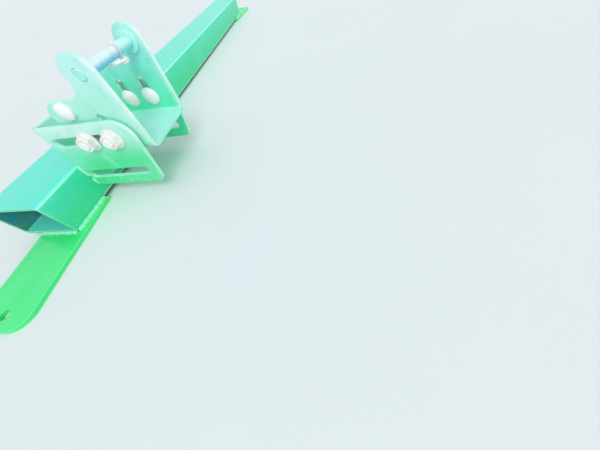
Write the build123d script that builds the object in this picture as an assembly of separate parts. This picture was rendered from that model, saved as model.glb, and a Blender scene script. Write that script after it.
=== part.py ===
from build123d import *
import math
import os

# An adjustable clevis bracket on a length of frame rail. A saddle, bent from plate, is welded to the
# side of a rectangular tube. A clevis stands between the saddle's cheeks and is clamped there by four
# round-headed bolts, each through a level slot in a cheek and an upright slot in an ear.
# Lengths are in millimetres. X runs along the rail, Z is up, and the bracket reaches out to -Y.
# The origin lies under the feet, midway between their fixing holes.

os.makedirs("parts", exist_ok=True)

# Rail: a rectangular hollow section lying flat, open at both ends
rail_length = 1200.0
rail_width = 100.0
rail_height = 60.0
rail_wall = 5.0
rail_corner = 8.0

# Foot plates, one welded under each end of the rail and turned outwards to the bracket's side
foot_thick = 6.0
foot_width = 80.0
foot_margin = 8.5
foot_turn = 4.0
foot_reach = 143.0
foot_lap = 72.0
foot_corner = 25.0
foot_hole = 13.5
foot_hole_from_end = 21.0

# Saddle: a channel of bent plate, its web flat on the rail's side
saddle_plate = 6.0
saddle_bend = 3.0
saddle_from_end = 82.5
cheek_rise = 58.0
cheek_drop = 41.0
cheek_reach_top = 142.0
cheek_reach_low = 125.0
cheek_corner_top = 23.0
cheek_corner_low = 12.0
low_slot_rise = -18.0
low_slot_start = 13.5
low_slot_end = 108.0
level_slot_start = 20.0
level_slot_end = 111.0
saddle_weld_leg = 5.0

# Clevis: a channel of bent plate, web down, each ear with an eye at its top front
ear_plate = 6.0
ear_bend = 4.0
ear_gap = 98.0
ear_front = 147.0
ear_back = 41.5
web_top_rise = 15.5
eye_rise = 103.0
eye_radius = 19.0
neck_radius = 19.5
shoulder_rise = 82.5
shoulder_corner = 21.0
upright_slot_low = 31.0
upright_slot_high = 56.5

# Hardware
slot_width = 13.5
bolt_diameter = 12.0
bolt_rise = 36.5
bolt_reaches = (70.5, 107.0)
bolt_head = 25.5
bolt_head_height = 7.5
bolt_head_rim = 1.2
bolt_neck = 4.5
bolt_overhang = 2.0
spacer_diameter = 18.0
spacer_thick = 3.0
washer_diameter = 26.0
washer_thick = 2.5
nut_across_flats = 18.0
nut_height = 9.0
button_head = 20.0
button_head_height = 8.0
button_head_rim = 4.5
button_reach = 71.0
button_rise = 72.0
pin_diameter = 12.7
pin_head = 22.0
pin_head_height = 6.0
boss_diameter = 24.0
boss_length = 4.0
pin_room = 62.0
pin_ring_diameter = 14.5
pin_ring_thick = 3.0
linch_diameter = 4.5
linch_head = 6.5
linch_wire = 2.4
linch_loop_radius = 12.5
linch_loop_tilt = 6.5
linch_neck = 1.6
linch_tail = 2.0
linch_droop = 80.0

# Clearances
thread_gap = 0.1
press_gap = 0.05
pin_gap = 0.05
face_gap = 0.2

# Worked out from the sizes above
foot_middle = foot_margin - foot_width / 2
foot_hole_out = foot_reach - foot_hole_from_end
side_y = foot_middle + foot_hole_out * math.sin(math.radians(foot_turn))
rail_top = foot_thick + rail_height
eye_reach = ear_front - eye_radius
cheek_inside = ear_gap / 2 + ear_plate + spacer_thick
cheek_outside = cheek_inside + saddle_plate
saddle_x = -rail_length / 2 + saddle_from_end + cheek_outside
ear_outside = ear_gap / 2 + ear_plate
sides = (("near", -1), ("far", 1))


def at(reach, rise):
    """Y and Z of a point, from its reach out of the rail's side and its rise over the rail's top."""
    return (side_y - reach, rail_top + rise)


def along_x(outline, start, end):
    """Solid of an outline drawn in Y and Z, from one X to another."""
    return Pos(start, 0, 0) * extrude(Plane.YZ * outline, end - start)


def facing(side, x, reach, rise):
    """Place on one side of the bracket, with the part's Z turned outwards along the rail."""
    y, z = at(reach, rise)
    return Pos(saddle_x + side * x, y, z) * Rot(0, 90 * side, 0)


def slot(reach_a, rise_a, reach_b, rise_b):
    """Outline of a slot between two centres."""
    return SlotCenterToCenter(
        math.hypot(reach_b - reach_a, rise_b - rise_a), slot_width
    ).rotate(Axis.Z, math.degrees(math.atan2(rise_b - rise_a, reach_a - reach_b))).translate(
        (*at((reach_a + reach_b) / 2, (rise_a + rise_b) / 2), 0)
    )


def rail_outline():
    return Pos(side_y + rail_width / 2, foot_thick + rail_height / 2) * RectangleRounded(
        rail_width, rail_height, rail_corner
    )


def frame_rail():
    bore = Pos(side_y + rail_width / 2, foot_thick + rail_height / 2) * RectangleRounded(
        rail_width - 2 * rail_wall, rail_height - 2 * rail_wall, rail_corner - rail_wall
    )
    return along_x(rail_outline() - bore, -rail_length / 2, rail_length / 2)


def foot_plate(side):
    length = foot_reach + foot_lap
    plate = Pos(foot_reach - length / 2, 0) * Rectangle(length, foot_width)
    plate = fillet(plate.vertices().group_by(Axis.X)[-1], foot_corner)
    plate -= Pos(foot_hole_out, 0) * Circle(foot_hole / 2)
    place = Pos(rail_length / 2, side_y - foot_middle, 0) * Rot(0, 0, -foot_turn)
    solid = place * extrude(plate, foot_thick)
    return solid if side > 0 else mirror(solid, Plane.YZ)


def foot_weld(side):
    """Bead in the groove between the rail's lower corner and the foot's margin."""
    bead = Pos(side_y + rail_corner / 4, foot_thick + rail_corner / 8) * Circle(rail_corner * 0.6)
    above = Pos(side_y, foot_thick + rail_corner / 2) * Rectangle(4 * rail_corner, rail_corner)
    end = side * rail_length / 2
    solid = along_x((bead & above) - rail_outline(), *sorted((end, end - side * foot_lap)))
    return solid


def saddle():
    width = 2 * cheek_outside
    outer = Pos(saddle_x, side_y - cheek_reach_top / 2) * Rectangle(width, cheek_reach_top)
    outer = fillet(outer.vertices().group_by(Axis.Y)[-1], saddle_bend + saddle_plate)
    inner = Pos(saddle_x, side_y - saddle_plate - cheek_reach_top / 2)
    inner = inner * Rectangle(2 * cheek_inside, cheek_reach_top)
    inner = fillet(inner.vertices().group_by(Axis.Y)[-1], saddle_bend)
    channel = extrude(Pos(0, 0, rail_top - cheek_drop) * (outer - inner), cheek_rise + cheek_drop)
    corners = [
        at(0, -cheek_drop),
        at(cheek_reach_low, -cheek_drop),
        at(cheek_reach_top, cheek_rise),
        at(0, cheek_rise),
    ]
    cheek = make_face(Polyline(*corners, close=True))
    for reach, rise, radius in (
        (cheek_reach_low, -cheek_drop, cheek_corner_low),
        (cheek_reach_top, cheek_rise, cheek_corner_top),
    ):
        cheek = fillet(cheek.vertices().sort_by_distance(Vector(*at(reach, rise)))[0], radius)
    cheek -= slot(level_slot_start, bolt_rise, level_slot_end, bolt_rise)
    cheek -= slot(low_slot_start, low_slot_rise, low_slot_end, low_slot_rise)
    return channel & along_x(cheek, saddle_x - width, saddle_x + width)


def saddle_welds():
    """Beads under the saddle's web and in the groove behind it, over the rail's upper corner."""
    half = cheek_outside - saddle_bend - saddle_plate
    leg = saddle_weld_leg
    under = Polyline(at(0, -cheek_drop), at(leg, -cheek_drop), at(0, -cheek_drop - leg), close=True)
    behind = Polyline(
        at(0, -rail_corner), at(0, leg), at(-rail_corner - leg, 0), at(-rail_corner, -rail_corner), close=True
    )
    under = make_face(under)
    behind = make_face(behind) - rail_outline()
    return [along_x(bead, saddle_x - half, saddle_x + half) for bead in (under, behind)]


def ear_outline():
    neck = eye_reach - eye_radius
    low = web_top_rise - ear_plate
    points = [
        at(ear_back, low),
        at(ear_front, low),
        at(ear_front, eye_rise),
        at(neck, eye_rise),
        at(neck, shoulder_rise),
        at(ear_back, shoulder_rise),
    ]
    outline = make_face(Polyline(*points, close=True))
    for reach, radius in ((neck, neck_radius), (ear_back, shoulder_corner)):
        corner = outline.vertices().sort_by_distance(Vector(*at(reach, shoulder_rise)))[0]
        outline = fillet(corner, radius)
    return outline + Pos(*at(eye_reach, eye_rise)) * Circle(eye_radius)


def clevis():
    low = rail_top + web_top_rise - ear_plate
    height = eye_rise + eye_radius + ear_plate - web_top_rise
    outer = Pos(saddle_x, low + height / 2) * Rectangle(2 * ear_outside, height)
    outer = fillet(outer.vertices().group_by(Axis.Y)[0], ear_bend + ear_plate)
    inner = Pos(saddle_x, low + ear_plate + height / 2) * Rectangle(ear_gap, height)
    inner = fillet(inner.vertices().group_by(Axis.Y)[0], ear_bend)
    channel = Plane.XZ.offset(ear_front - side_y) * (outer - inner)
    channel = extrude(channel, ear_back - ear_front)
    ear = ear_outline()
    ear -= Pos(*at(eye_reach, eye_rise)) * Circle(pin_diameter / 2 + pin_gap)
    ear -= Pos(*at(button_reach, button_rise)) * Circle(bolt_diameter / 2 + press_gap)
    for bolt_reach in bolt_reaches:
        ear -= slot(bolt_reach, upright_slot_low, bolt_reach, upright_slot_high)
    return channel & along_x(ear, saddle_x - 2 * ear_outside, saddle_x + 2 * ear_outside)


def dome(radius, height, rim):
    """Round head below Z 0: a short straight rim and a crown."""
    cap = height - rim
    crown = (radius**2 + cap**2) / (2 * cap)
    tilt = math.asin(radius / crown) / 2
    middle = (crown * math.sin(tilt), -height + crown * (1 - math.cos(tilt)))
    outline = [
        Line((0, 0), (radius, 0)),
        Line((radius, 0), (radius, -rim)),
        ThreePointArc((radius, -rim), middle, (0, -height)),
        Line((0, -height), (0, 0)),
    ]
    return revolve(Plane.XZ * make_face(outline), Axis.Z)


def slot_bolt(side, reach):
    grip = ear_plate + spacer_thick + saddle_plate + washer_thick
    length = grip + nut_height + bolt_overhang
    shank = Pos(0, 0, length / 2) * Cylinder(bolt_diameter / 2, length)
    shank = chamfer(shank.edges().group_by(Axis.Z)[-1], 1.0)
    neck = Pos(0, 0, bolt_neck / 2) * Box(bolt_diameter, bolt_diameter, bolt_neck)
    bolt = dome(bolt_head / 2, bolt_head_height, bolt_head_rim) + shank + neck
    return facing(side, ear_gap / 2, reach, bolt_rise) * bolt


def ring(side, x, reach, diameter, thick):
    solid = Cylinder(diameter / 2, thick) - Cylinder(bolt_diameter / 2 + thread_gap, thick)
    return facing(side, x + thick / 2, reach, bolt_rise) * solid


def slot_nut(side, reach):
    hexagon = RegularPolygon(nut_across_flats / 2, 6, major_radius=False)
    body = extrude(hexagon - Circle(bolt_diameter / 2 + thread_gap), nut_height)
    across_corners = nut_across_flats / math.cos(math.pi / 6)
    turned = Pos(0, 0, nut_height / 2) * Cylinder(across_corners / 2, nut_height)
    turned = chamfer(turned.edges().group_by(Axis.Z)[-1], 1.4)
    return facing(side, cheek_outside + washer_thick, reach, bolt_rise) * (body & turned)


def ear_button(side):
    """Round stop, flush with the ear's inner face: its head comes down on the cheek's top edge."""
    shank = Pos(0, 0, ear_plate / 2) * Cylinder(bolt_diameter / 2, ear_plate)
    head = dome(button_head / 2, button_head_height, button_head_rim)
    head = Pos(0, 0, ear_plate) * mirror(head, Plane.XY)
    return facing(side, ear_gap / 2, button_reach, button_rise) * (shank + head)


def boss():
    solid = Cylinder(boss_diameter / 2, boss_length) - Cylinder(pin_diameter / 2 + pin_gap, boss_length)
    return facing(1, ear_gap / 2 - boss_length / 2, eye_reach, eye_rise) * solid


def linch_x():
    """Distance of the linch pin from the bracket's middle: it holds the ring that bounds the pin's room."""
    return pin_room - ear_gap / 2 + pin_ring_thick + face_gap + linch_diameter / 2


def pin():
    start = -ear_outside
    end = ear_outside + face_gap
    shank = Pos(0, 0, (start + end) / 2) * Cylinder(pin_diameter / 2, end - start)
    shank = chamfer(shank.edges().group_by(Axis.Z)[0], 1.0)
    head = Pos(0, 0, end + pin_head_height / 2) * Cylinder(pin_head / 2, pin_head_height)
    head = chamfer(head.edges().group_by(Axis.Z)[-1], 1.5)
    hole = Cylinder(linch_diameter / 2 + thread_gap, pin_diameter * 2)
    hole = Rot(linch_droop, 0, 0) * Pos(linch_x(), 0, 0) * Rot(90, 0, 0) * hole
    y, z = at(eye_reach, eye_rise)
    return Pos(saddle_x, y, z) * (Rot(0, 90, 0) * (shank + head) - hole)


def pin_ring():
    solid = Cylinder(pin_ring_diameter / 2, pin_ring_thick)
    solid -= Cylinder(pin_diameter / 2 + pin_gap, pin_ring_thick)
    return facing(1, pin_room - ear_gap / 2 + pin_ring_thick / 2, eye_reach, eye_rise) * solid


def linch_pin():
    """Pin down through the clevis pin, with a block for a head and a wire ring that lies under the pin."""
    tip = pin_diameter / 2 + linch_tail
    neck = pin_diameter / 2 + linch_neck
    middle = neck + linch_head / 2
    body = Pos(0, (tip - neck) / 2, 0) * Rot(90, 0, 0) * Cylinder(linch_diameter / 2, tip + neck)
    body = chamfer(body.edges().group_by(Axis.Y)[-1], 0.6)
    block = Pos(0, -middle, 0) * fillet(Box(linch_head, linch_head, linch_head).edges(), 1.2)
    loop = Pos(-linch_loop_radius, 0, 0) * Rot(90, 0, 0) * Torus(linch_loop_radius, linch_wire / 2)
    loop = Pos(0, -middle, 0) * Rot(0, 0, -linch_loop_tilt) * loop
    y, z = at(eye_reach, eye_rise)
    return Pos(saddle_x + linch_x(), y, z) * Rot(linch_droop, 0, 0) * (body + block + loop)


def write(name, *solids):
    shape = solids[0] if len(solids) == 1 else Compound(list(solids))
    export_step(shape, f"parts/{name}.step")


write("frame_rail", frame_rail())
write("saddle", saddle())
write("saddle_welds", *saddle_welds())
write("clevis", clevis())
write("eye_boss", boss())
write("clevis_pin", pin())
write("pin_ring", pin_ring())
write("linch_pin", linch_pin())
for name, side in sides:
    write(f"foot_plate_{name}", foot_plate(side))
    write(f"foot_weld_{name}", foot_weld(side))
    write(f"ear_button_{name}", ear_button(side))
    for number, reach in enumerate(bolt_reaches, 1):
        write(f"slot_bolt_{name}_{number}", slot_bolt(side, reach))
        write(f"spacer_{name}_{number}", ring(side, ear_outside, reach, spacer_diameter, spacer_thick))
        write(f"washer_{name}_{number}", ring(side, cheek_outside, reach, washer_diameter, washer_thick))
        write(f"slot_nut_{name}_{number}", slot_nut(side, reach))
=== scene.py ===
import math
import random

import bmesh
import bpy
import numpy as np
from mathutils import Matrix, Vector


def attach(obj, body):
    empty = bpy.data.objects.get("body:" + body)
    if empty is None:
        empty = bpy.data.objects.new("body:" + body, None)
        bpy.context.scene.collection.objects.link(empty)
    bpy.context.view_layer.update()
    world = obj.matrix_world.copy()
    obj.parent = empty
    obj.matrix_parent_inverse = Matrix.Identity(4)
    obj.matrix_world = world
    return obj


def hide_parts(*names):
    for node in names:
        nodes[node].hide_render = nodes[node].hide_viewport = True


# A clevis bracket on a length of frame rail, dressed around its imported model.
# Metres, in the model's own frame: X along the rail, Z up, and the bracket reaches out to -Y.
# Shapes are drawn in millimetres, by their reach out of the rail's side and their rise over its top.

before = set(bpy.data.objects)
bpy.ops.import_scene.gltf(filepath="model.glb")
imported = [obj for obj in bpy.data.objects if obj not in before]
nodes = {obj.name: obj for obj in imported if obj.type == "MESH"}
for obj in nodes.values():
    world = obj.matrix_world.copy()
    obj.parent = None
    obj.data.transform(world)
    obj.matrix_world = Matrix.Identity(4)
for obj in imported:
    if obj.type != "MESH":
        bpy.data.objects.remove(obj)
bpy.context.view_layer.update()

MM = 0.001
SIDES = (("near", -1), ("far", 1))

# Rail and feet
SIDE_Y = -22.99
RAIL_TOP = 66.0
RAIL_HALF = 600.0
RAIL_WIDTH = 100.0
RAIL_HEIGHT = 60.0
RAIL_WALL = 5.0
FOOT_THICK = 6.0
FOOT_LAP = 72.0
FOOT_WIDTH = 80.0
FOOT_REACH = 143.0
FOOT_MARGIN = 8.5
FOOT_TURN = 4.0
FOOT_CORNER = 25.0
FOOT_HOLE = 6.75
FOOT_HOLE_FROM_END = 21.0

# Saddle: a plate bent at both ends of its web
SADDLE_X = -453.5
PLATE = 6.0
FACE_GAP = 0.02  # kept free on each side of a plate, so that faces that lie on it don't coincide
CHEEK_OUTSIDE = 64.0
CHEEK_RISE = 58.0
CHEEK_DROP = 41.0
CHEEK_REACH_TOP = 142.0
CHEEK_REACH_LOW = 125.0
CHEEK_CORNER_TOP = 23.0
CHEEK_CORNER_LOW = 12.0
SADDLE_BEND = 9.0
LOW_SLOT = (13.5, 108.0, -18.0)
LEVEL_SLOT = (20.0, 111.0, 36.5)

# Clevis: a plate bent up at both ends of its web
EAR_OUTSIDE = 55.0
EAR_FRONT = 147.0
EAR_BACK = 41.5
WEB_UNDERSIDE = 9.5
CLEVIS_BEND = 10.0
EYE_RISE = 103.0
EYE_REACH = 128.0
EYE_RADIUS = 19.0
NECK_RADIUS = 19.5
SHOULDER_RISE = 82.5
SHOULDER_CORNER = 21.0
UPRIGHT_SLOT = (31.0, 56.5)
BUTTON_PLACE = (71.0, 72.0)
SLOT_HALF = 6.75
PIN_HOLE = 6.4
BUTTON_HOLE = 6.05
EDGE_ROUND = 0.6

# How finely shapes are drawn
JOIN = 0.002  # points closer than this become one
SOFT_ANGLE = 32.0  # in degrees, edges that turn more are rounded
BEND_CUTS = 10
CORNER_POINTS = 14
SLOT_POINTS = 15
HOLE_POINTS = 40

# Weld beads, by their legs along the two surfaces
WEB_LEG = 5.0
TOP_LEG_UP = 6.2
TOP_LEG_BACK = 13.0
TACK_LEG_OUT = 6.2
TACK_LEG_FRONT = 4.6
LOW_TACK = 15.0  # up from the cheek's lower edge
HIGH_TACK = 25.0  # down from the rail's top
FOOT_LEG_OUT = 6.0
FOOT_LEG_UP = 5.2
END_LEG_OUT = 4.6
END_LEG_UP = 3.8
END_RUN = (3.0, 70.0)  # along the rail's end, from its side
BEAD_ROW = 0.45
BEAD_ACROSS = 11

# Clamp bolts
BOLT_RISE = 36.5
BOLT_REACHES = (70.5, 107.0)
EAR_INSIDE = 49.0
BOLT_RADIUS = 6.0
BOLT_HEAD = 12.75
BOLT_HEAD_HEIGHT = 7.5
BOLT_HEAD_RIM = 1.2
BOLT_NECK = 4.5
BOLT_LENGTH = 28.5
THREAD_PITCH = 1.75
THREAD_DEPTH = 0.95
THREAD_START = 7.0
THREAD_STEPS = 8
BOLT_AROUND = 40
NECK_CORNER = 0.7

# Drops of weld spatter
CHEEK_DROPS = 22
SIDE_DROPS = 9
FOOT_DROPS = 22
DROP_AROUND = 9
DROP_RINGS = ((1.0, -0.15), (0.92, 0.25), (0.55, 0.55))
DROP_TOP = 0.68

# Viewpoint and floor, in metres
VIEW_PLACE = (-0.749, -0.409, 0.232)
VIEW_RIGHT = (0.0501, -0.9895, -0.1355)
VIEW_UP = (0.8379, -0.0322, 0.5448)
FLOOR_REACH = 30.0
FLOOR_DROP = 0.0002

# Lens, and the suns by their power, their spread in degrees and where they stand
LENS = 12.36
SENSOR = 36
SUNS = (("key", 1.28, 28, (-0.62, -0.42, 0.75)), ("fill", 0.28, 70, (-0.15, -0.93, 0.42)))
SKY_LIGHT = 0.68  # on the object, where the sky as it is seen counts 1


class Sock:
    """A shader socket whose arithmetic adds Math nodes."""

    def __init__(self, tree, out):
        self.tree = tree
        self.out = out

    def maths(self, operation, *values):
        found = self.tree.node("ShaderNodeMath", {"operation": operation}, dict(enumerate(values)))
        return Sock(self.tree, found.outputs[0])

    def __add__(self, other):
        return self.maths("ADD", self, other)

    def __radd__(self, other):
        return self.maths("ADD", other, self)

    def __sub__(self, other):
        return self.maths("SUBTRACT", self, other)

    def __rsub__(self, other):
        return self.maths("SUBTRACT", other, self)

    def __mul__(self, other):
        return self.maths("MULTIPLY", self, other)

    def __rmul__(self, other):
        return self.maths("MULTIPLY", other, self)

    def __abs__(self):
        return self.maths("ABSOLUTE", self)

    def larger(self, other):
        return self.maths("MAXIMUM", self, other)


class Tree:
    """A node tree that is filled through one method."""

    def __init__(self, owner):
        owner.use_nodes = True
        self.tree = owner.node_tree
        self.tree.nodes.clear()

    def node(self, kind, settings=None, inputs=None):
        """A node of a kind: its settings are set first, then the values or links of its sockets."""
        made = self.tree.nodes.new(kind)
        for name, value in (settings or {}).items():
            setattr(made, name, value)
        for name, value in (inputs or {}).items():
            socket = made.inputs[name]
            if isinstance(value, Sock):
                value = value.out
            if isinstance(value, bpy.types.NodeSocket):
                self.tree.links.new(value, socket)
            elif socket.type == "RGBA" and len(value) == 3:
                socket.default_value = (*value, 1)
            else:
                socket.default_value = value
        return made

    def sock(self, out):
        return Sock(self, out)


class Paint(Tree):
    """A material under construction, with the nodes that the finishes share."""

    def __init__(self, name, **fixed):
        self.material = bpy.data.materials.new(name)
        super().__init__(self.material)
        self.shader = self.node("ShaderNodeBsdfPrincipled", {}, fixed)
        self.node("ShaderNodeOutputMaterial", {}, {"Surface": self.shader.outputs[0]})
        own = self.node("ShaderNodeTexCoord").outputs
        self.place, self.facing = own["Object"], own["Normal"]
        self.normal = self.node("ShaderNodeNewGeometry").outputs["Normal"]

    def stretched(self, x, y, z):
        """The place on the object, scaled along each axis."""
        scaled = self.node("ShaderNodeVectorMath", {"operation": "MULTIPLY"}, {0: self.place, 1: (x, y, z)})
        return scaled.outputs[0]

    def noise(self, scale, detail=3.0, rough=0.55, place=None):
        """Cloudy values around a half."""
        inputs = {"Vector": place or self.place, "Scale": scale, "Detail": detail, "Roughness": rough}
        return self.sock(self.node("ShaderNodeTexNoise", {}, inputs).outputs["Fac"])

    def step(self, value, low, high):
        """0 at low, 1 at high, smooth between them."""
        inputs = {"Value": value, "From Min": low, "From Max": high}
        made = self.node("ShaderNodeMapRange", {"interpolation_type": "SMOOTHSTEP"}, inputs)
        return self.sock(made.outputs[0])

    def band(self, value, low, high):
        """The step between two lengths in millimetres."""
        return self.step(value, low * MM, high * MM)

    def mix(self, mask, first, second):
        """Colour that goes from first to second with the mask."""
        inputs = {"Factor": mask, 6: first, 7: second}
        made = self.node("ShaderNodeMix", {"data_type": "RGBA"}, inputs)
        return made.outputs[2]

    def axis(self, vector, name):
        """One part of a vector."""
        parts = self.node("ShaderNodeSeparateXYZ", {}, {0: vector})
        return self.sock(parts.outputs[name])

    def edges(self, radius):
        """1 on sharp outer and inner edges, 0 on flat faces."""
        rounded = self.node("ShaderNodeBevel", {"samples": 6}, {"Radius": radius}).outputs[0]
        facing = self.node("ShaderNodeVectorMath", {"operation": "DOT_PRODUCT"}, {0: rounded, 1: self.normal})
        return self.step(self.sock(facing.outputs["Value"]), 0.995, 0.86)

    def bump(self, height, strength, distance):
        """The normal over a relief of the given height."""
        inputs = {"Height": height, "Strength": strength, "Distance": distance}
        return self.node("ShaderNodeBump", {}, inputs).outputs[0]

    def finish(self, **varying):
        """The finished material, with what varies over its surface."""
        for name, value in varying.items():
            socket = self.shader.inputs[name.replace("_", " ")]
            self.tree.links.new(value.out if isinstance(value, Sock) else value, socket)
        return self.material


# Tones of the enamel, some of them wholly or partly painted light, as said on each
# Pale tone of the painted highlight on edges, also used for paint lifted around chips
HIGHLIGHT_AND_LIFT = (0.80, 0.98, 0.92)
# Pale tone of the painted glare on the bracket's upper parts
MILKY_GLARE = (0.43, 0.87, 0.74)
# Dust, and painted glare on faces that look up
DUST_AND_SHEEN = (0.50, 0.90, 0.80)
# Chalky paint, and painted glare in patches
CHALK_AND_GLARE = (0.60, 0.94, 0.86)
RUBBED = (0.80, 0.95, 0.86)
GRIT = (0.42, 0.62, 0.48)
SCRATCHED = (0.60, 0.92, 0.80)
BARE = (0.055, 0.085, 0.06)


def green_enamel(name, low, high, upper, levels, grain=1.0, film_and_glare=1.0, coat=0.45, edge_highlight=0.8, dress=None):
    """Sprayed machine green that turns from low to high between two levels, a painted glare that pales it higher up,
    with a painted sky reflection as the tone for faces that look up.

    The levels are heights in millimetres, the film weight is how much dusting and chalk lies on it, both partly
    painted glare, the rim weight how strong the painted highlight on its edges is, and the dress a function that
    adds what belongs to one piece."""
    paint = Paint(name, **{"Coat Roughness": 0.18, "Coat IOR": 1.5, "IOR": 1.5})
    height = paint.axis(paint.place, "Z")
    upward = paint.step(paint.axis(paint.facing, "Z"), 0.3, 0.95)
    cloud = paint.noise(9.0, 4.0, 0.6)
    mottle = paint.noise(60.0, 4.0, 0.6)
    speck = paint.noise(900.0, 2.0, 0.5)
    edge = paint.edges(1.5 * MM)
    # painted glare: the colour goes from the low tone to the high tone going up
    glare_by_height = paint.band(height + 30 * MM * (cloud - 0.5) + 8 * MM * (mottle - 0.5), *levels)
    colour = paint.mix(glare_by_height, low, high)
    if dress:
        colour = dress(paint, colour, height, mottle)
    # painted sky reflection on faces that look up
    colour = paint.mix(0.9 * upward, colour, upper)
    shade = tuple(0.78 * part for part in low)
    colour = paint.mix(0.22 * film_and_glare * paint.step(mottle, 0.45, 0.72), colour, shade)
    # dust on faces that look up, also painted glare
    dust_and_sheen = paint.step(upward * (0.55 + 0.6 * mottle) * (0.5 + cloud), 0.45, 1.15) * 0.4 * film_and_glare
    colour = paint.mix(dust_and_sheen, colour, DUST_AND_SHEEN)
    # chalky patches, which are also painted glare
    chalky_glare = paint.noise(26.0, 5.0, 0.65, paint.stretched(1, 1, 0.35))
    colour = paint.mix(0.30 * film_and_glare * paint.step(chalky_glare, 0.54, 0.74), colour, CHALK_AND_GLARE)
    worn = edge * paint.step(paint.noise(150.0, 4.0, 0.65), 0.36, 0.60)
    # painted highlight along the edges
    colour = paint.mix(edge_highlight * edge, colour, HIGHLIGHT_AND_LIFT)
    colour = paint.mix(0.35 * worn, colour, RUBBED)
    smear = paint.noise(3.5, 5.0, 0.7, paint.stretched(1, 14, 5))
    smeared = tuple(0.86 * part for part in upper)
    colour = paint.mix(0.30 * paint.step(smear, 0.50, 0.72), colour, smeared)
    grit = paint.step(paint.noise(520.0, 2.0, 0.6), 0.66, 0.74) * paint.step(cloud, 0.40, 0.62)
    colour = paint.mix(0.28 * grit, colour, GRIT)
    chip_field = paint.noise(260.0, 3.0, 0.6) + 0.14 * edge
    lifted = paint.step(chip_field, 0.715, 0.735)
    colour = paint.mix(0.6 * lifted, colour, HIGHLIGHT_AND_LIFT)
    chip = paint.step(chip_field, 0.745, 0.765)
    colour = paint.mix(chip, colour, BARE)
    streaks = paint.noise(7.0, 4.0, 0.7, paint.stretched(1, 60, 9))
    scratch = paint.step(streaks, 0.70, 0.735) * paint.step(mottle, 0.45, 0.6)
    colour = paint.mix(0.4 * film_and_glare * scratch, colour, SCRATCHED)
    rough = 0.27 + 0.14 * mottle + 0.12 * smear + 0.20 * dust_and_sheen + 0.15 * chip
    peel = paint.noise(420.0, 2.0, 0.5)
    relief = 0.35 * grain * speck + 0.8 * peel + 0.6 * mottle - 1.2 * chip - 0.3 * scratch
    return paint.finish(
        Base_Color=colour,
        Roughness=rough,
        Coat_Weight=coat * (1 - 0.7 * dust_and_sheen - 0.6 * chip),
        Normal=paint.bump(relief, 0.30, 0.35 * MM),
    )


def bracket_dress(paint, colour, height, mottle):
    """Painted light on the bracket: glare palest along the ears' tops and pale on its near faces, fronts and web,
    painted shade that keeps the far side greener, and a painted highlight on the plate's cut faces.
    """
    along = paint.axis(paint.place, "X") - SADDLE_X * MM
    reach = SIDE_Y * MM - paint.axis(paint.place, "Y")
    off = abs(along)
    on_cheek = paint.band(off, 57.0, 58.0)
    # painted glare, palest along the ears' tops
    colour = paint.mix(paint.band(height + 10 * MM * mottle, 140, 185), colour, (0.54, 0.90, 0.88))
    # painted shade: the far side stays greener, and paler higher up as painted glare
    far_shade_and_glare = paint.mix(paint.band(height, 85, 165), (0.10, 0.86, 0.50), (0.26, 0.85, 0.80))
    far = paint.band(along, 40, 48) * paint.band(reach, 4, 30)
    colour = paint.mix(0.85 * far, colour, far_shade_and_glare)
    # painted glare along the far side's top
    colour = paint.mix(0.6 * paint.band(height, 150, 184) * far, colour, (0.62, 0.90, 0.88))
    # painted glare on the near ear's face
    near_glare = paint.band(height, 96, 118) * paint.band(reach, 122, 37) * paint.band(along, -56.2, -56.8)
    colour = paint.mix(0.7 * near_glare, colour, (0.68, 0.90, 0.85))
    # painted glare on the cheek near the rail
    near_rail = paint.band(reach, 52, 4) * paint.band(height, 40, 70) * on_cheek
    colour = paint.mix(0.45 * near_rail, colour, (0.36, 0.90, 0.74))
    # painted light that lifts the web out of the shade between the ears
    web = paint.band(off, 47, 43) * paint.band(reach, 40, 43)
    colour = paint.mix(0.6 * web, colour, (0.42, 0.99, 0.88))
    within_ear = paint.band(off, 56.0, 55.4)
    # painted highlight along the ears' fronts
    front = paint.band(reach, 139, 146) * within_ear * paint.band(off, 47, 49)
    colour = paint.mix(0.5 * front, colour, (0.70, 0.95, 0.86))
    # painted glare along the cheeks' tops
    top = paint.band(height, RAIL_TOP + 46, RAIL_TOP + 57) * on_cheek
    colour = paint.mix(0.45 * top, colour, (0.74, 0.94, 0.88))
    # painted highlight on the plate's cut faces, paler higher up
    cheek = paint.band(off, 57.2, 57.8) * paint.band(reach, 9.5, 10.5)
    ear = paint.band(off, 48.3, 48.7) * within_ear * paint.band(height, 86, 87) * paint.band(reach, 38, 40)
    cut = paint.step(abs(paint.axis(paint.facing, "X")), 0.55, 0.30) * cheek.larger(ear)
    cut_highlight = paint.mix(paint.band(height, 80, 125), (0.44, 0.96, 0.66), HIGHLIGHT_AND_LIFT)
    return paint.mix(0.8 * cut, colour, cut_highlight)


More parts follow.
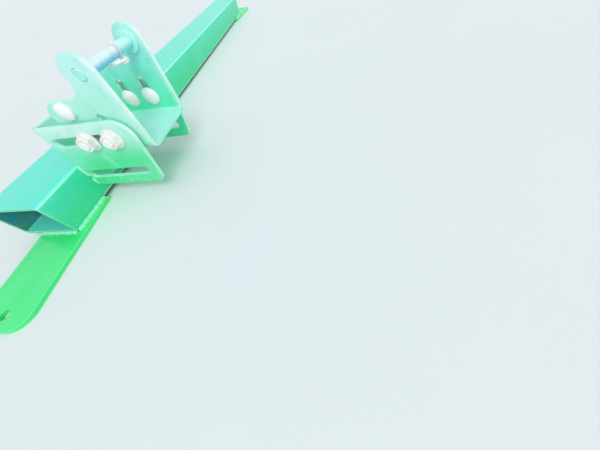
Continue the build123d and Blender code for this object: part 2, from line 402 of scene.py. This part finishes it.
def rail_dress(paint, colour, height, mottle):
    """Painted highlight along the tube's corners, and dull blue scale in its bore that is also painted shade,
    with painted light on the bore's floor.
    """
    across = abs(paint.axis(paint.place, "Y") - (SIDE_Y + RAIL_WIDTH / 2) * MM)
    above = abs(height - (FOOT_THICK + RAIL_HEIGHT / 2) * MM)
    upright = paint.axis(paint.facing, "Z")
    corner = abs(paint.axis(paint.facing, "Y")) * abs(upright)
    # painted highlight along the rounded corners
    colour = paint.mix(paint.step(corner, 0.33, 0.47), colour, (0.55, 0.97, 0.88))
    half_width, half_height = RAIL_WIDTH / 2 - RAIL_WALL + 0.6, RAIL_HEIGHT / 2 - RAIL_WALL + 0.6
    bore = paint.band(across, half_width, half_width - 0.3) * paint.band(above, half_height, half_height - 0.3)
    # scale in the bore, darkened and blued as painted shade
    scale = paint.mix(paint.step(mottle, 0.45, 0.65), (0.035, 0.30, 0.36), (0.07, 0.27, 0.22))
    # painted light on the bore's floor
    scale = paint.mix(0.7 * paint.step(upright, 0.4, 0.9), scale, (0.28, 0.62, 0.26))
    scale = paint.mix(0.4 * paint.step(paint.noise(45.0, 4.0, 0.6), 0.56, 0.68), scale, (0.14, 0.12, 0.08))
    return paint.mix(bore, colour, scale)


def zinc(name, bright, tint, metal=0.14, oversprayed=False):
    """Zinc plate with the faint pink and straw tints of its passivation, and green within the ears if oversprayed."""
    paint = Paint(name, **{"IOR": 1.5})
    cloud = paint.noise(75.0, 3.0, 0.6)
    patch = paint.noise(170.0, 3.0, 0.6)
    speck = paint.noise(1500.0, 2.0, 0.6)
    turned = paint.noise(420.0, 2.0, 0.5, paint.stretched(0.15, 1, 1))
    edge = paint.edges(0.7 * MM)
    base = tuple(bright * part for part in (0.90, 0.97, 0.92))
    colour = paint.mix(paint.step(cloud, 0.38, 0.62), base, tuple(bright * part for part in tint))
    straw = tuple(bright * part for part in (0.92, 0.95, 0.82))
    colour = paint.mix(0.5 * paint.step(patch, 0.5, 0.66), colour, straw)
    colour = paint.mix(0.15 * turned, colour, (0.62, 0.70, 0.66))
    # painted highlight along the edges
    colour = paint.mix(0.6 * edge, colour, (0.97, 0.97, 0.94))
    dull = paint.step(patch, 0.58, 0.72)
    colour = paint.mix(0.30 * dull, colour, (0.50, 0.48, 0.42))
    if oversprayed:
        inner = paint.band(abs(paint.axis(paint.place, "X") - SADDLE_X * MM), EAR_INSIDE + 1.5, EAR_INSIDE + 0.8)
        colour = paint.mix(0.92 * inner, colour, (0.17, 0.84, 0.66))
    return paint.finish(
        Base_Color=colour,
        Metallic=metal * (1 - 0.7 * dull),
        Roughness=0.40 + 0.16 * cloud + 0.2 * dull,
        Normal=paint.bump(speck + 0.8 * patch + 0.5 * turned, 0.16, 0.2 * MM),
    )


def pin_steel(name):
    """Ground steel under a coat of grease, its end sprayed over with the ear, tinted pale cyan as a painted sky
    reflection and blue beneath as painted shade.
    """
    paint = Paint(name, **{"IOR": 1.5})
    rings = paint.noise(900.0, 2.0, 0.6, paint.stretched(1, 0.02, 0.02))
    cloud = paint.noise(70.0, 4.0, 0.6)
    grease = paint.step(cloud, 0.45, 0.62)
    # painted shade: blue on the underside
    under = paint.step(paint.axis(paint.facing, "Z"), 0.45, -0.45)
    # pale cyan steel with ground rings, the cyan a painted sky reflection
    colour = paint.mix(rings, (0.66, 0.90, 0.90), (0.82, 0.93, 0.94))
    colour = paint.mix(0.25 * grease, colour, (0.35, 0.62, 0.62))
    colour = paint.mix(0.9 * under, colour, (0.15, 0.60, 0.76))
    along = paint.axis(paint.place, "X") - SADDLE_X * MM
    # a lilac band across the pin, a little towards the far ear
    lilac_band = paint.band(abs(along - 8 * MM), 9, 2) * paint.step(cloud, 0.40, 0.58)
    colour = paint.mix(0.55 * lilac_band, colour, (0.72, 0.62, 0.84))
    sprayed = paint.band(along, 1.2 - EAR_OUTSIDE, 0.4 - EAR_OUTSIDE)
    sprayed = sprayed.larger(0.9 * paint.band(along + 4 * MM * cloud, 20, 23))
    # the overspray, with painted shade on its underside
    mist = paint.mix(under, (0.52, 0.93, 0.86), (0.24, 0.80, 0.74))
    colour = paint.mix(0.9 * sprayed, colour, mist)
    # painted highlight along the edges
    colour = paint.mix(0.5 * paint.edges(0.7 * MM), colour, (0.92, 0.96, 0.94))
    return paint.finish(
        Base_Color=colour,
        Metallic=0.25 - 0.2 * sprayed,
        Roughness=0.30 + 0.12 * rings + 0.16 * grease,
        Normal=paint.bump(rings + 0.5 * cloud, 0.1, 0.1 * MM),
    )


def floor_finish(name):
    """Pale screed with a faint cloud in it."""
    paint = Paint(name, **{"Roughness": 0.7, "IOR": 1.4})
    cloud = paint.noise(2.2, 4.0, 0.55)
    grain = paint.noise(260.0, 3.0, 0.6)
    colour = paint.mix(0.6 * cloud + 0.25 * grain, (0.76, 0.82, 0.84), (0.84, 0.89, 0.90))
    return paint.finish(Base_Color=colour, Normal=paint.bump(grain, 0.08, 0.4 * MM))


# The third tone of each enamel is for faces that look up, a painted sky reflection
BRACKET_GREEN = green_enamel(
    "bracket_green", (0.085, 0.76, 0.32), MILKY_GLARE, (0.40, 0.95, 0.84), (66, 110), dress=bracket_dress
)
RAIL_GREEN = green_enamel(
    "rail_green", (0.022, 0.66, 0.27), (0.045, 0.71, 0.43), (0.036, 0.84, 0.66), (14, 62),
    film_and_glare=0.5, coat=0.2, dress=rail_dress,
)
FOOT_GREEN = green_enamel(
    "foot_green", (0.030, 0.80, 0.20), (0.030, 0.82, 0.20), (0.018, 0.85, 0.21), (0, 10),
    film_and_glare=0.22, coat=0.2,
)
BEAD_GREEN = green_enamel(
    "bead_green", (0.15, 0.80, 0.36), (0.30, 0.88, 0.62), (0.26, 0.89, 0.58), (10, 60),
    grain=1.6, edge_highlight=0.35,
)
DROP_GREEN = green_enamel(
    "drop_green", (0.26, 0.88, 0.48), (0.36, 0.90, 0.60), (0.45, 0.92, 0.66), (10, 60),
    grain=1.6, edge_highlight=0.3,
)
BOLT_ZINC = zinc("bolt_zinc", 0.95, (0.98, 0.86, 0.89))
# a paler, less metallic copy of the zinc: painted light for the bolt heads in the shade between the ears
LIT_HEAD_ZINC = zinc("lit_head_zinc", 1.0, (1.0, 0.86, 0.90), metal=0.1)
STOP_ZINC = zinc("stop_zinc", 0.98, (0.97, 0.93, 0.92), oversprayed=True)
RING_ZINC = zinc("ring_zinc", 0.92, (0.70, 0.60, 0.92))
SPACER_ZINC = zinc("spacer_zinc", 0.62, (0.78, 0.76, 0.70))
PIN_STEEL = pin_steel("greased_pin_steel")


def level_shading(obj, weight=100, keep_sharp=True):
    """Shading that follows the large faces, so that flat ones look flat."""
    level = obj.modifiers.new("shading", "WEIGHTED_NORMAL")
    level.weight = weight
    level.keep_sharp = keep_sharp


def shade(obj):
    """Smooth faces whose shading keeps the flat ones flat."""
    for polygon in obj.data.polygons:
        polygon.use_smooth = True
    level_shading(obj)


def soften(node, material, width):
    """A model node keeps its shape, and gets its finish and small rounded edges."""
    obj = nodes[node]
    obj.data.materials.clear()
    obj.data.materials.append(material)
    weld = obj.modifiers.new("join", "WELD")
    weld.merge_threshold = JOIN * MM
    bevel = obj.modifiers.new("edges", "BEVEL")
    bevel.width = width
    bevel.segments = 2
    bevel.limit_method = "ANGLE"
    bevel.angle_limit = math.radians(SOFT_ANGLE)
    bevel.use_clamp_overlap = True
    level_shading(obj)


def riding(name, mesh, material, body, stands_for=()):
    """A new piece from a mesh, riding on a body, that may stand for nodes of the model."""
    mesh.materials.clear()
    mesh.materials.append(material)
    obj = bpy.data.objects.new(name, mesh)
    bpy.context.scene.collection.objects.link(obj)
    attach(obj, body)
    if stands_for:
        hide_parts(*stands_for)
    return obj


def opened(mesh, join=0.0):
    """The mesh opened for editing, with points within the join distance made one."""
    shell = bmesh.new()
    shell.from_mesh(mesh)
    if join:
        bmesh.ops.remove_doubles(shell, verts=shell.verts, dist=join)
    return shell


def closed(shell, mesh):
    """What was edited goes back into the mesh, with its faces turned outwards."""
    bmesh.ops.recalc_face_normals(shell, faces=shell.faces)
    shell.to_mesh(mesh)
    shell.free()


def walls(start, rings, count):
    """Faces between rings of points that follow each other from a start index."""
    faces = []
    for ring in range(rings - 1):
        a, b = start + ring * count, start + (ring + 1) * count
        for step in range(count):
            after = (step + 1) % count
            faces.append((a + step, a + after, b + after, b + step))
    return faces


def lid(start, count):
    """One face over a ring of points."""
    return tuple(range(start, start + count))


def from_points(name, vertices, faces):
    """A closed mesh, in metres, from points in millimetres."""
    mesh = bpy.data.meshes.new(name)
    mesh.from_pydata([tuple(MM * part for part in point) for point in vertices], [], faces)
    closed(opened(mesh), mesh)
    mesh.validate()
    for polygon in mesh.polygons:
        polygon.use_smooth = True
    return mesh


def arc(centre, radius, start, end, count):
    """Points along an arc, with its angles in radians."""
    turns = np.linspace(start, end, count)
    return [(centre[0] + radius * math.cos(turn), centre[1] + radius * math.sin(turn)) for turn in turns]


def rounded(corners):
    """Outline through corners, each given with the radius that rounds it."""
    points = []
    for index, (u, v, radius) in enumerate(corners):
        corner = Vector((u, v))
        before = (Vector(corners[index - 1][:2]) - corner).normalized()
        after = (Vector(corners[(index + 1) % len(corners)][:2]) - corner).normalized()
        half = before.angle(after) / 2
        centre = corner + (before + after).normalized() * radius / math.sin(half)
        first = corner + before * radius / math.tan(half) - centre
        last = corner + after * radius / math.tan(half) - centre
        start = math.atan2(first.y, first.x)
        turn = (math.atan2(last.y, last.x) - start + math.pi) % (2 * math.pi) - math.pi
        points += arc(centre, radius, start, start + turn, CORNER_POINTS)
    return points


def slot_outline(first, last):
    """Outline of a slot between two centres."""
    lean = math.atan2(last[1] - first[1], last[0] - first[0])
    quarter = math.pi / 2
    return arc(last, SLOT_HALF, lean - quarter, lean + quarter, SLOT_POINTS) + arc(
        first, SLOT_HALF, lean + quarter, lean + 3 * quarter, SLOT_POINTS
    )


def hole_outline(centre, radius):
    """Outline of a round hole."""
    return arc(centre, radius, 0, 2 * math.pi, HOLE_POINTS + 1)[:-1]


def wound(outline, sense):
    """The outline, turning the given way."""
    area = sum(a[0] * b[1] - b[0] * a[1] for a, b in zip(outline, outline[1:] + outline[:1]))
    return outline if area * sense > 0 else outline[::-1]


def blank(outline, holes):
    """Flat plate with rounded edges, in millimetres."""
    curve = bpy.data.curves.new("blank", "CURVE")
    curve.dimensions = "2D"
    curve.fill_mode = "BOTH"
    curve.extrude = PLATE / 2 - EDGE_ROUND - FACE_GAP
    curve.bevel_depth = EDGE_ROUND
    curve.bevel_resolution = 2
    curve.offset = -EDGE_ROUND
    for points in [wound(outline, 1)] + [wound(hole, -1) for hole in holes]:
        spline = curve.splines.new("POLY")
        spline.points.add(len(points) - 1)
        for point, (u, v) in zip(spline.points, points):
            point.co = (u, v, 0, 1)
        spline.use_cyclic_u = True
    holder = bpy.data.objects.new("blank", curve)
    bpy.context.scene.collection.objects.link(holder)
    bpy.context.view_layer.update()
    mesh = bpy.data.meshes.new_from_object(holder.evaluated_get(bpy.context.evaluated_depsgraph_get()))
    bpy.data.objects.remove(holder)
    bpy.data.curves.remove(curve)
    return mesh


def folded(name, outline, holes, flat_half, bend, place):
    """Plate bent up square at both ends of its web, where place gives a point of the folded plate."""
    mesh = blank(outline, holes)
    neutral = bend - PLATE / 2
    plate = opened(mesh, JOIN)
    for turn in np.linspace(0, math.pi / 2, BEND_CUTS):
        for sense in (-1, 1):
            geometry = plate.verts[:] + plate.edges[:] + plate.faces[:]
            at = (sense * (flat_half + neutral * turn), 0, 0)
            bmesh.ops.bisect_plane(plate, geom=geometry, dist=0.0005, plane_co=at, plane_no=(1, 0, 0))
    for vertex in plate.verts:
        along, across, depth = vertex.co.x, vertex.co.y, PLATE / 2 - vertex.co.z
        turn = (abs(along) - flat_half) / neutral
        radius = bend - depth
        if turn <= 0:
            out, up = abs(along), depth
        elif turn < math.pi / 2:
            out, up = flat_half + radius * math.sin(turn), bend - radius * math.cos(turn)
        else:
            out, up = flat_half + radius, bend + neutral * (turn - math.pi / 2)
        vertex.co = Vector(place(math.copysign(out, along), across, up)) * MM
    closed(plate, mesh)
    mesh.name = name
    return mesh


def saddle():
    """Saddle plate: its web against the rail's side, and a slotted cheek at each end."""
    flat_half = CHEEK_OUTSIDE - SADDLE_BEND

    def run(reach):
        """Place on the flat blank of a reach on the cheek."""
        return flat_half + (SADDLE_BEND - PLATE / 2) * math.pi / 2 + reach - SADDLE_BEND

    outline = rounded([
        (run(CHEEK_REACH_LOW), -CHEEK_DROP, CHEEK_CORNER_LOW),
        (run(CHEEK_REACH_TOP), CHEEK_RISE, CHEEK_CORNER_TOP),
        (-run(CHEEK_REACH_TOP), CHEEK_RISE, CHEEK_CORNER_TOP),
        (-run(CHEEK_REACH_LOW), -CHEEK_DROP, CHEEK_CORNER_LOW),
    ])
    holes = []
    for start, end, rise in (LOW_SLOT, LEVEL_SLOT):
        for _, side in SIDES:
            holes.append(slot_outline((side * run(start), rise), (side * run(end), rise)))

    def place(out, rise, reach):
        return SADDLE_X + out, SIDE_Y - reach, RAIL_TOP + rise

    mesh = folded("saddle_plate", outline, holes, flat_half, SADDLE_BEND, place)
    shade(riding("saddle_plate", mesh, BRACKET_GREEN, "rail", ["saddle"]))


def clevis():
    """Clevis plate: its web down, and an ear with an eye, a shoulder and upright slots at each end."""
    flat_half = EAR_OUTSIDE - CLEVIS_BEND

    def run(rise):
        """Place on the flat blank of a rise on the ear."""
        return flat_half + (CLEVIS_BEND - PLATE / 2) * math.pi / 2 + rise - WEB_UNDERSIDE - CLEVIS_BEND

    top, shoulder, neck = run(EYE_RISE + EYE_RADIUS), run(SHOULDER_RISE), EYE_REACH - EYE_RADIUS
    ear = [
        (top, EAR_FRONT, EYE_RADIUS),
        (top, neck, EYE_RADIUS),
        (shoulder, neck, NECK_RADIUS),
        (shoulder, EAR_BACK, SHOULDER_CORNER),
    ]
    outline = rounded(ear + [(-rise, reach, radius) for rise, reach, radius in reversed(ear)])
    holes = []
    for _, side in SIDES:
        holes.append(hole_outline((side * run(EYE_RISE), EYE_REACH), PIN_HOLE))
        holes.append(hole_outline((side * run(BUTTON_PLACE[1]), BUTTON_PLACE[0]), BUTTON_HOLE))
        for reach in BOLT_REACHES:
            ends = [(side * run(rise), reach) for rise in UPRIGHT_SLOT]
            holes.append(slot_outline(*ends))

    def place(out, reach, up):
        return SADDLE_X + out, SIDE_Y - reach, RAIL_TOP + WEB_UNDERSIDE + up

    mesh = folded("clevis_plate", outline, holes, flat_half, CLEVIS_BEND, place)
    shade(riding("clevis_plate", mesh, BRACKET_GREEN, "clevis", ["clevis"]))


def foot(side, sense):
    """Foot plate, turned a little outwards under the rail's end."""
    half = FOOT_WIDTH / 2
    square = 0.8
    outline = rounded([
        (-FOOT_LAP, -half, square),
        (FOOT_REACH, -half, FOOT_CORNER),
        (FOOT_REACH, half, FOOT_CORNER),
        (-FOOT_LAP, half, square),
    ])
    mesh = blank(outline, [hole_outline((FOOT_REACH - FOOT_HOLE_FROM_END, 0), FOOT_HOLE)])
    turn = math.radians(FOOT_TURN)
    middle = SIDE_Y - FOOT_MARGIN + half
    plate = opened(mesh, JOIN)
    for vertex in plate.verts:
        u, v, w = vertex.co
        x = RAIL_HALF + u * math.cos(turn) + v * math.sin(turn)
        y = middle - u * math.sin(turn) + v * math.cos(turn)
        vertex.co = Vector((sense * x, y, w + PLATE / 2)) * MM
    closed(plate, mesh)
    name = f"foot_{side}"
    mesh.name = name
    shade(riding(name, mesh, FOOT_GREEN, "rail", [f"foot_plate_{side}"]))


def clamp_bolt(side, sense, number, reach):
    """Round-headed bolt with a square neck and a rolled thread."""
    around = BOLT_AROUND
    cap = BOLT_HEAD_HEIGHT - BOLT_HEAD_RIM
    crown = (BOLT_HEAD**2 + cap**2) / (2 * cap)
    sweep = math.asin(BOLT_HEAD / crown)
    profile = []
    for turn in np.linspace(0.02, 1, 12) * sweep:
        profile.append((crown * math.sin(turn), -BOLT_HEAD_HEIGHT + crown * (1 - math.cos(turn))))
    profile += [(BOLT_HEAD, -0.35), (BOLT_HEAD - 0.3, -0.02), (BOLT_RADIUS, 0.0), (BOLT_RADIUS - 0.5, BOLT_NECK)]
    ridges = np.arange(THREAD_START, BOLT_LENGTH - 0.05, THREAD_PITCH / THREAD_STEPS)
    profile += [(BOLT_RADIUS, along) for along in ridges] + [(BOLT_RADIUS, BOLT_LENGTH)]
    vertices = []
    for radius, along in profile:
        for step in range(around):
            turn = 2 * math.pi * step / around
            size = radius
            if along >= THREAD_START:
                phase = (along / THREAD_PITCH - step / around) % 1
                cut = min(1.0, 1.25 * (1 - abs(2 * phase - 1)))
                fade = min(1.0, (along - THREAD_START) / THREAD_PITCH)
                size = min(radius - THREAD_DEPTH * cut * fade, BOLT_RADIUS - 1.0 + 1.4 * (BOLT_LENGTH - along))
            vertices.append((along, size * math.cos(turn), size * math.sin(turn)))
    start = len(vertices)
    faces = [lid(0, around)[::-1], *walls(0, len(profile), around), lid(start - around, around)]
    half = BOLT_RADIUS
    square = rounded([(u, v, NECK_CORNER) for u, v in ((half, half), (-half, half), (-half, -half), (half, -half))])
    count = len(square)
    for along, shrink in ((-0.5, 1.0), (BOLT_NECK - 0.5, 1.0), (BOLT_NECK, 0.93)):
        vertices += [(along, shrink * u, shrink * v) for u, v in square]
    faces += [*walls(start, 3, count), lid(start, count)[::-1], lid(start + 2 * count, count)]
    placed = [
        (SADDLE_X + sense * (EAR_INSIDE + along), SIDE_Y - reach + u, RAIL_TOP + BOLT_RISE + v)
        for along, u, v in vertices
    ]
    name = f"clamp_bolt_{side}_{number}"
    mesh = from_points(name, placed, faces)
    node = f"slot_bolt_{side}_{number}"
    obj = riding(name, mesh, LIT_HEAD_ZINC, "clamp_bolts", [node])
    level_shading(obj, 60, False)


def weld_bead(start, end, leg_a, leg_b, seed, pitch=2.3, swell=0.30, lumps=0.14):
    """Points and faces of a rippled bead in a corner, with a leg along each of the two surfaces.

    The pitch is from ripple to ripple, the swell how full the bead is, and the lumps how uneven."""
    rng = random.Random(seed)
    phases = [(rng.uniform(0.25, 0.9), rng.uniform(0, 6.28), rng.uniform(0.4, 1.0)) for _ in range(4)]
    start, end, leg_a, leg_b = (Vector(point) for point in (start, end, leg_a, leg_b))
    length = (end - start).length
    forward = (end - start).normalized()
    outward = (leg_a + leg_b).normalized()
    size = (leg_a.length + leg_b.length) / 2
    rows = max(8, int(length / BEAD_ROW))
    vertices = []
    for row in range(rows + 1):
        run = length * row / rows
        wander = sum(amount * math.sin(rate * run + phase) for rate, phase, amount in phases) / 2.5
        end_gap = min(run, length - run)
        taper = math.sqrt(max(0.03, 1 - (1 - min(1.0, end_gap / (0.9 * size))) ** 2))
        scale = taper * (1 + lumps * wander)
        for column in range(BEAD_ACROSS):
            part = column / (BEAD_ACROSS - 1)
            hump = math.sin(math.pi * part)
            ripple = math.cos(2 * math.pi * (run + 1.3 * hump + 0.5 * wander) / pitch)
            lift = hump * (swell * size + min(0.34, 0.05 * size) * ripple)
            flat = leg_a * (1 - part) + leg_b * part
            vertices.append(start + forward * run + (flat + outward * lift) * scale)
        vertices.append(start + forward * run - outward * 0.25 * scale)
    ring = BEAD_ACROSS + 1
    return vertices, [*walls(0, rows + 1, ring), lid(0, ring)[::-1], lid(rows * ring, ring)]


def joined(parts):
    """Points and faces of several parts in one list."""
    vertices, faces = [], []
    for more_vertices, more_faces in parts:
        start = len(vertices)
        vertices += [tuple(point) for point in more_vertices]
        faces += [tuple(start + index for index in face) for face in more_faces]
    return vertices, faces


def welds():
    """Beads of the saddle on the rail and of the rail on its feet."""
    half = CHEEK_OUTSIDE - SADDLE_BEND
    lower, upper = RAIL_TOP - CHEEK_DROP, RAIL_TOP - 1.2
    left, right = SADDLE_X - half, SADDLE_X + half
    behind = SIDE_Y + 0.2
    parts = [
        weld_bead((left, SIDE_Y, lower), (right, SIDE_Y, lower), (0, -WEB_LEG, 0), (0, 0, -WEB_LEG), seed=3),
        weld_bead(
            (left, behind, upper), (right, behind, upper),
            (0, 0, TOP_LEG_UP), (0, TOP_LEG_BACK, 1.2), seed=5, pitch=2.6, swell=0.12,
        ),
    ]
    for _, side in SIDES:
        x = SADDLE_X + side * (half + 3.4)
        legs = (side * TACK_LEG_OUT, 0, 0), (side * 2.2, -TACK_LEG_FRONT, 0)
        for start, end, seed in (
            ((x, SIDE_Y, lower - 1), (x, SIDE_Y, lower + LOW_TACK), 11),
            ((x, SIDE_Y, RAIL_TOP - HIGH_TACK), (x, SIDE_Y + 0.5, RAIL_TOP - 2), 21),
        ):
            parts.append(weld_bead(start, end, *legs, seed + side, pitch=2.4, swell=0.24, lumps=0.10))
    mesh = from_points("saddle_beads", *joined(parts))
    riding("saddle_beads", mesh, BEAD_GREEN, "rail", ["saddle_welds"])
    for side, sense in SIDES:
        end = sense * RAIL_HALF
        corner = SIDE_Y + 1.6
        parts = [
            weld_bead(
                (end - sense, corner, FOOT_THICK), (end - sense * FOOT_LAP, corner, FOOT_THICK),
                (0, -FOOT_LEG_OUT, 0), (0, -1.0, FOOT_LEG_UP), 31 + sense, pitch=2.6, swell=0.28, lumps=0.20,
            ),
            weld_bead(
                (end, SIDE_Y + END_RUN[0], FOOT_THICK), (end, SIDE_Y + END_RUN[1], FOOT_THICK),
                (sense * END_LEG_OUT, 0, 0), (0, 0, END_LEG_UP), 41 + sense, pitch=2.5, swell=0.28, lumps=0.20,
            ),
        ]
        mesh = from_points(f"foot_beads_{side}", *joined(parts))
        riding(f"foot_beads_{side}", mesh, BEAD_GREEN, "rail", [f"foot_weld_{side}"])


def spatter():
    """Small beads of weld metal that stuck to the cheeks and the rail under the paint."""
    rng = random.Random(7)
    senses = [sense for _, sense in SIDES]
    vertices, faces = [], []
    around = DROP_AROUND

    def drop(centre, out, size):
        """A flat bead of the given radius, on a surface that faces out."""
        out = Vector(out).normalized()
        side = out.orthogonal().normalized()
        other = out.cross(side)
        start = len(vertices)
        for wide, lift in DROP_RINGS:
            for step in range(around):
                turn = 2 * math.pi * step / around
                offset = (side * math.cos(turn) + other * math.sin(turn)) * size * wide + out * size * lift
                vertices.append(tuple(Vector(centre) + offset))
        vertices.append(tuple(Vector(centre) + out * size * DROP_TOP))
        faces.extend(walls(start, len(DROP_RINGS), around))
        last = len(vertices) - 1
        for step in range(around):
            faces.append((last - around + step, last - around + (step + 1) % around, last))
        faces.append(lid(start, around)[::-1])

    for _ in range(CHEEK_DROPS):
        reach, rise = rng.uniform(14, 118), rng.uniform(-39, -27.5)
        side = rng.choice(senses)
        drop((SADDLE_X + side * CHEEK_OUTSIDE, SIDE_Y - reach, RAIL_TOP + rise), (side, 0, 0), rng.uniform(0.35, 1.0))
    for _ in range(SIDE_DROPS):
        side = rng.choice(senses)
        x = SADDLE_X + side * (CHEEK_OUTSIDE + abs(rng.gauss(5, 5)))
        drop((x, SIDE_Y, RAIL_TOP - rng.uniform(12, 48)), (0, -1, 0), rng.uniform(0.3, 0.65))
    for _ in range(FOOT_DROPS):
        side = rng.choice(senses)
        x = side * (RAIL_HALF - rng.uniform(2, FOOT_LAP))
        drop((x, SIDE_Y, FOOT_THICK + rng.uniform(9, 15)), (0, -1, 0), rng.uniform(0.3, 0.65))
    mesh = from_points("weld_spatter", vertices, faces)
    riding("weld_spatter", mesh, DROP_GREEN, "rail")


def studio():
    """Pale floor under two soft suns and an even sky."""
    mesh = bpy.data.meshes.new("floor")
    reach = FLOOR_REACH
    corners = [(-reach, -reach, 0), (reach, -reach, 0), (reach, reach, 0), (-reach, reach, 0)]
    mesh.from_pydata(corners, [], [(0, 1, 2, 3)])
    mesh.materials.append(floor_finish("pale_screed"))
    floor = bpy.data.objects.new("floor", mesh)
    floor.location.z = -FLOOR_DROP
    bpy.context.scene.collection.objects.link(floor)
    for name, power, spread, place in SUNS:
        lamp = bpy.data.lights.new(name, "SUN")
        lamp.energy = power
        lamp.angle = math.radians(spread)
        holder = bpy.data.objects.new(name, lamp)
        holder.rotation_euler = Vector(place).to_track_quat("Z", "Y").to_euler()
        bpy.context.scene.collection.objects.link(holder)
    world = bpy.data.worlds.new("studio")
    bpy.context.scene.world = world
    sky = Tree(world)
    paths = sky.node("ShaderNodeLightPath").outputs
    seen = sky.sock(paths["Is Camera Ray"]).larger(paths["Is Glossy Ray"]).larger(paths["Is Transmission Ray"])
    strength = SKY_LIGHT + (1 - SKY_LIGHT) * seen
    background = sky.node("ShaderNodeBackground", {}, {"Color": (0.93, 0.98, 1.0), "Strength": strength})
    sky.node("ShaderNodeOutputWorld", {}, {"Surface": background.outputs[0]})
    bpy.context.scene.view_settings.view_transform = "Standard"


def camera():
    """The photograph's viewpoint and lens."""
    right = Vector(VIEW_RIGHT).normalized()
    back = right.cross(Vector(VIEW_UP)).normalized()
    up = back.cross(right).normalized()
    data = bpy.data.cameras.new("view")
    data.lens = LENS
    data.sensor_width = SENSOR
    data.clip_start = 0.01
    obj = bpy.data.objects.new("view", data)
    matrix = Matrix((right, up, back)).transposed().to_4x4()
    matrix.translation = Vector(VIEW_PLACE)
    obj.matrix_world = matrix
    bpy.context.scene.collection.objects.link(obj)
    bpy.context.scene.camera = obj


soften("frame_rail", RAIL_GREEN, 0.5 * MM)
soften("eye_boss", BRACKET_GREEN, 0.5 * MM)
soften("clevis_pin", PIN_STEEL, 0.3 * MM)
soften("pin_ring", RING_ZINC, 0.3 * MM)
soften("linch_pin", BOLT_ZINC, 0.2 * MM)
saddle()
clevis()
welds()
spatter()
for side, sense in SIDES:
    foot(side, sense)
    soften(f"ear_button_{side}", STOP_ZINC, 0.3 * MM)
    for number, reach in enumerate(BOLT_REACHES, 1):
        clamp_bolt(side, sense, number, reach)
        soften(f"washer_{side}_{number}", BOLT_ZINC, 0.4 * MM)
        soften(f"slot_nut_{side}_{number}", BOLT_ZINC, 0.4 * MM)
        soften(f"spacer_{side}_{number}", SPACER_ZINC, 0.3 * MM)
studio()
camera()
